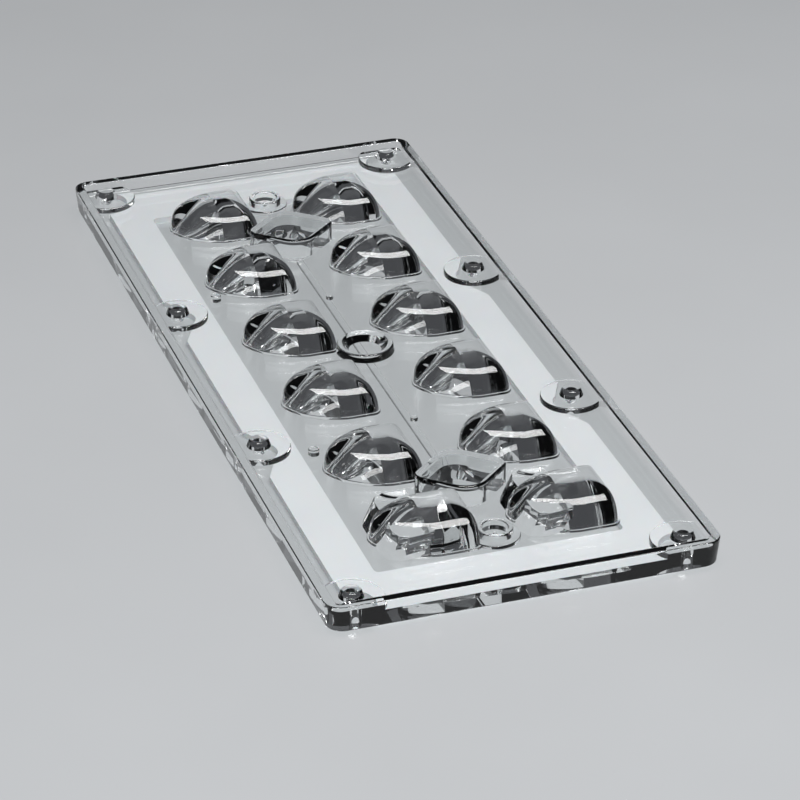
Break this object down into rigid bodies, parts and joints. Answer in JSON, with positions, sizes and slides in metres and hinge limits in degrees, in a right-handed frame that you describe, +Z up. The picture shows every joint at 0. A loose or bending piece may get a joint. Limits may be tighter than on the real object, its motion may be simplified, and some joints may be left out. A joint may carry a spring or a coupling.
{
  "type": "led lens array",
  "caption": "Clear lens plate with a grid of asymmetric street-light lenses inside a raised rim, on a flat white silicone gasket.",
  "frame": {"origin": "middle of the plate, on the plane that the gasket rests on", "axes": "+X across the plate, from the lens tails to their squared noses; +Y along the plate; +Z up, out of the lenses"},
  "size_m": [0.0714, 0.173, 0.0101],
  "materials": {
    "clear_acrylic": "clear, moulded and polished",
    "white_silicone": "matt"
  },
  "bodies": {
    "root": {"lens_plate": "clear_acrylic", "gasket": "white_silicone"}
  },
  "joints": []
}
